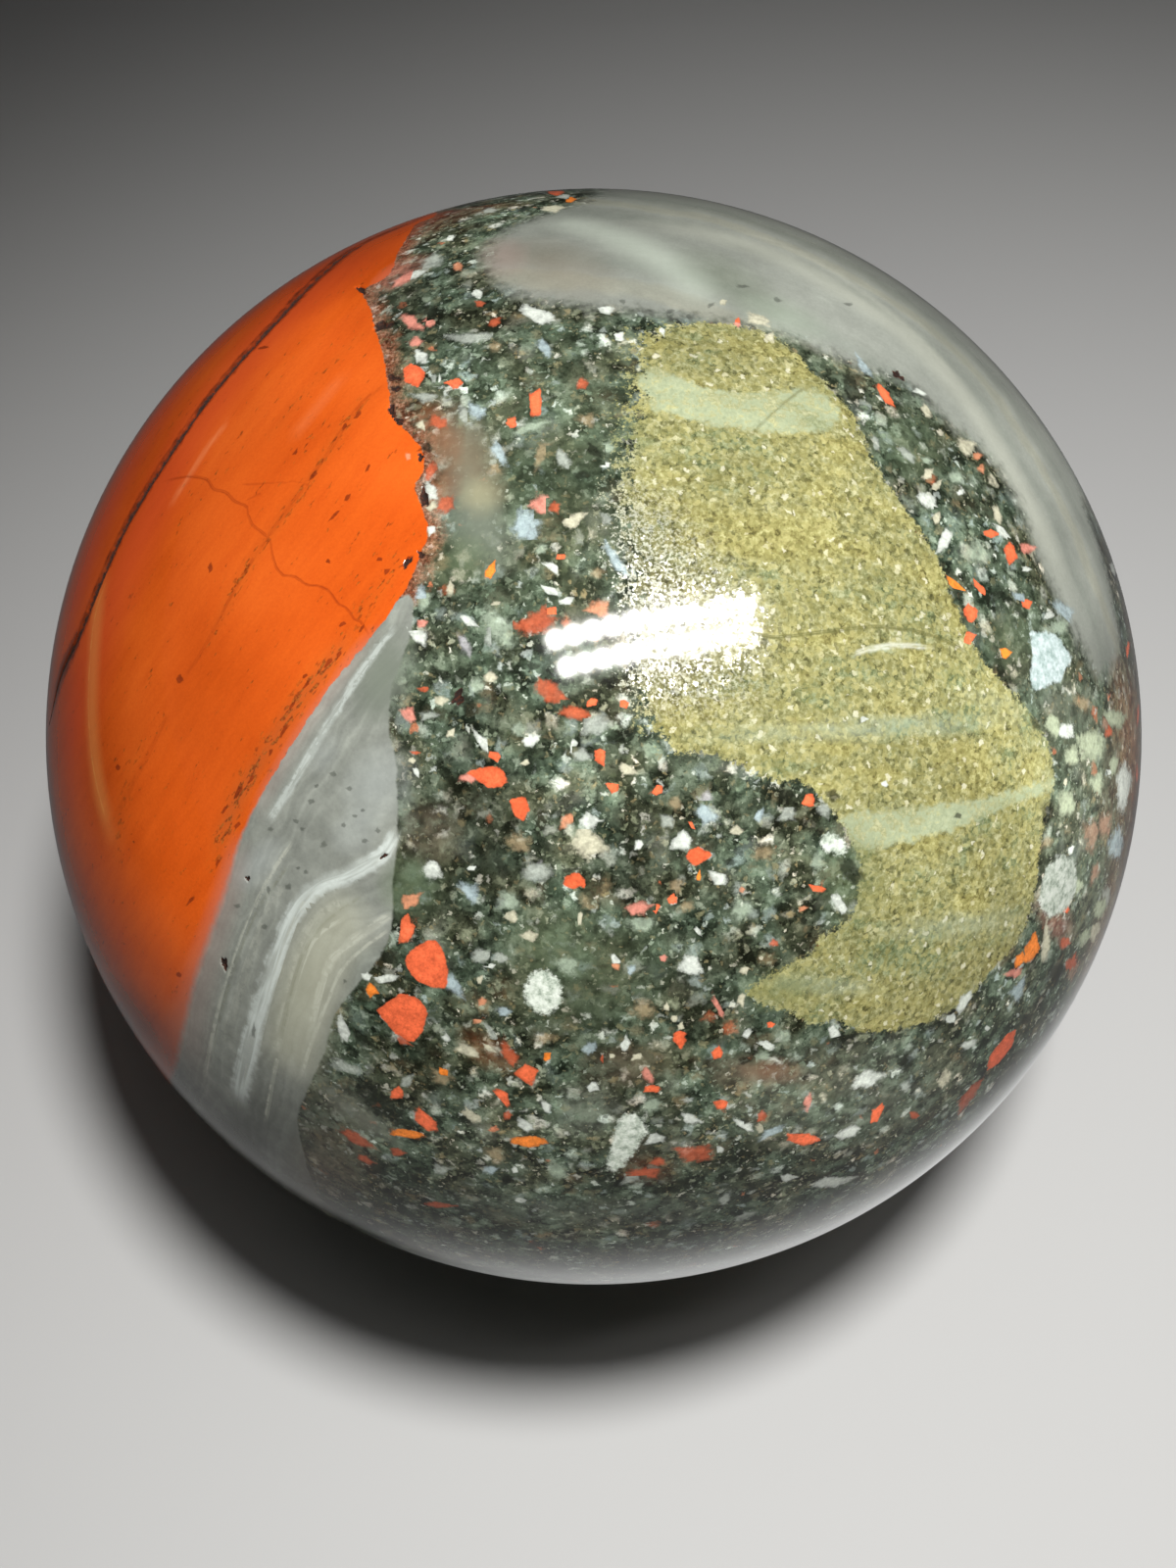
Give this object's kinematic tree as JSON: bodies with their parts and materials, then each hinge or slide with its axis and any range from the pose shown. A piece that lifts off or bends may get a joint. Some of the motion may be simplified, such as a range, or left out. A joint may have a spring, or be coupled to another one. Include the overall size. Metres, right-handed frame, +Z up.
{
  "type": "african bloodstone sphere",
  "caption": "Polished ball of brecciated green, red, grey and gold-flecked African bloodstone, for display or for use in the hand.",
  "frame": {"origin": "the middle of the small flat that the ball rests on, straight under its centre", "axes": "+Z up through the ball's centre; -Y is the side that faces the viewer; +X is to the viewer's right"},
  "size_m": [0.06, 0.06, 0.0598],
  "materials": {
    "bloodstone": "mirror-polished stone: dark green breccia with an orange-red jasper field, grey chalcedony and an olive field full of pyrite"
  },
  "bodies": {
    "root": {"ball": "bloodstone"}
  },
  "joints": []
}
